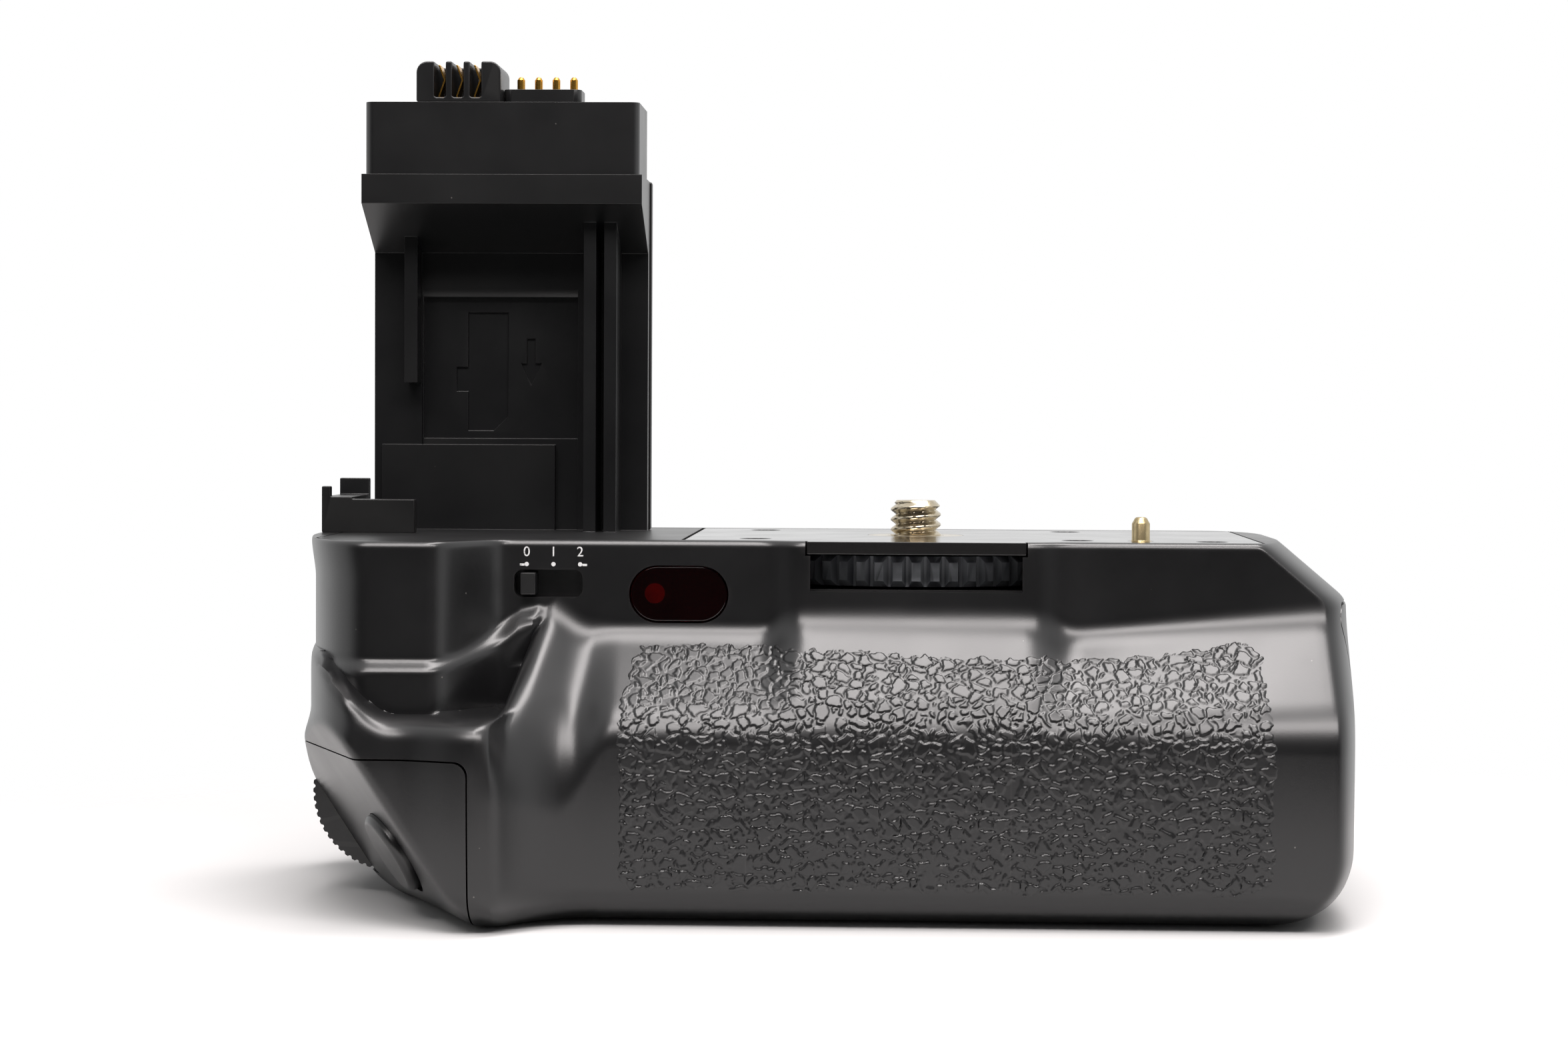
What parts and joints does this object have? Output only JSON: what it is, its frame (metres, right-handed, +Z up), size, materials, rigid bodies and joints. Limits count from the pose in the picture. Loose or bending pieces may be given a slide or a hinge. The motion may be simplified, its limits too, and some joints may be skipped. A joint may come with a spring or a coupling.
{
  "type": "camera battery grip",
  "caption": "Battery grip for a small single-lens reflex camera, with battery stem, attachment wheel, remote receiver, shutter controls and a sliding battery tray.",
  "frame": {"origin": "mouth of the tripod socket, on the base plane and the camera screw's axis", "axes": "+X to the tray end, +Y to the rear, +Z up towards the camera"},
  "size_m": [0.1322, 0.0692, 0.1044],
  "materials": {
    "black_plastic": "satin moulded ABS",
    "inner_plastic": "plain moulded ABS",
    "gilt_brass": "gold-plated brass",
    "plated_steel": "nickel-plated steel",
    "circuit_board": "glass-fibre board",
    "control_plastic": "fine matt moulded ABS",
    "red_window": "dark red clear plastic",
    "grey_rubber": "silicone"
  },
  "bodies": {
    "housing": {"front_shell": "black_plastic", "rear_shell": "black_plastic", "shutter_housing": "black_plastic", "top_plate": "black_plastic", "base_plate": "black_plastic", "chassis": "inner_plastic", "stem_frame": "black_plastic", "stem_back": "black_plastic", "stem_cap": "black_plastic", "contact_block": "black_plastic", "leaf_contacts": "gilt_brass", "pin_block": "black_plastic", "contact_pins": "gilt_brass", "stem_board": "circuit_board", "door_holder": "black_plastic", "screw_bush": "plated_steel", "guide_pin": "gilt_brass", "tripod_socket": "plated_steel", "receiver_window": "red_window", "receiver": "control_plastic", "remote_switch": "plated_steel", "main_board": "circuit_board", "shutter_switch": "plated_steel", "control_board": "circuit_board", "dial_axle": "plated_steel", "button_pad": "grey_rubber", "rear_board": "circuit_board", "power_switch": "plated_steel", "terminal_block": "inner_plastic", "terminal_blades": "gilt_brass", "base_screws": "plated_steel", "top_screws": "plated_steel"},
    "attach_wheel": {"thumbwheel": "control_plastic", "camera_screw": "gilt_brass"},
    "remote_slider": {"remote_knob": "control_plastic"},
    "shutter": {"shutter_button": "control_plastic"},
    "dial": {"main_dial": "control_plastic"},
    "lock_key": {"lock_button": "control_plastic"},
    "focus_key": {"focus_button": "control_plastic"},
    "exposure_key": {"exposure_button": "control_plastic"},
    "power_slider": {"power_knob": "control_plastic"},
    "tray": {"battery_tray": "inner_plastic", "tray_cap": "black_plastic", "tray_contacts": "gilt_brass"},
    "tray_lock": {"tray_knob": "control_plastic", "tray_cam": "plated_steel"}
  },
  "joints": [
    {"name": "wheel_turn", "type": "hinge", "parent": "housing", "child": "attach_wheel", "pos_m": [0, 0, 0], "axis": [0, 0, 1], "continuous": true},
    {"name": "remote_slide", "type": "slide", "parent": "housing", "child": "remote_slider", "axis": [1, 0, 0], "range_m": [0, 0.0047]},
    {"name": "shutter_press", "type": "slide", "parent": "housing", "child": "shutter", "axis": [0.7881, 0.342, 0.5118], "range_m": [0, 0.0012], "stiffness_N_per_m": 400},
    {"name": "dial_turn", "type": "hinge", "parent": "housing", "child": "dial", "pos_m": [-0.06481, 0, 0.013], "axis": [0, 1, 0], "continuous": true},
    {"name": "lock_press", "type": "slide", "parent": "housing", "child": "lock_key", "axis": [0, -1, 0], "range_m": [0, 0.0008], "stiffness_N_per_m": 400},
    {"name": "focus_press", "type": "slide", "parent": "housing", "child": "focus_key", "axis": [0, -1, 0], "range_m": [0, 0.0008], "stiffness_N_per_m": 400},
    {"name": "exposure_press", "type": "slide", "parent": "housing", "child": "exposure_key", "axis": [0, -1, 0], "range_m": [0, 0.0008], "stiffness_N_per_m": 400},
    {"name": "power_slide", "type": "slide", "parent": "housing", "child": "power_slider", "axis": [1, 0, 0], "range_m": [0, 0.003]},
    {"name": "tray_slide", "type": "slide", "parent": "housing", "child": "tray", "axis": [1, 0, 0], "range_m": [0, 0.066]},
    {"name": "tray_lock_turn", "type": "hinge", "parent": "tray", "child": "tray_lock", "pos_m": [0.0474, 0, 0.0221], "axis": [1, 0, 0], "range_deg": [0, 90]}
  ]
}
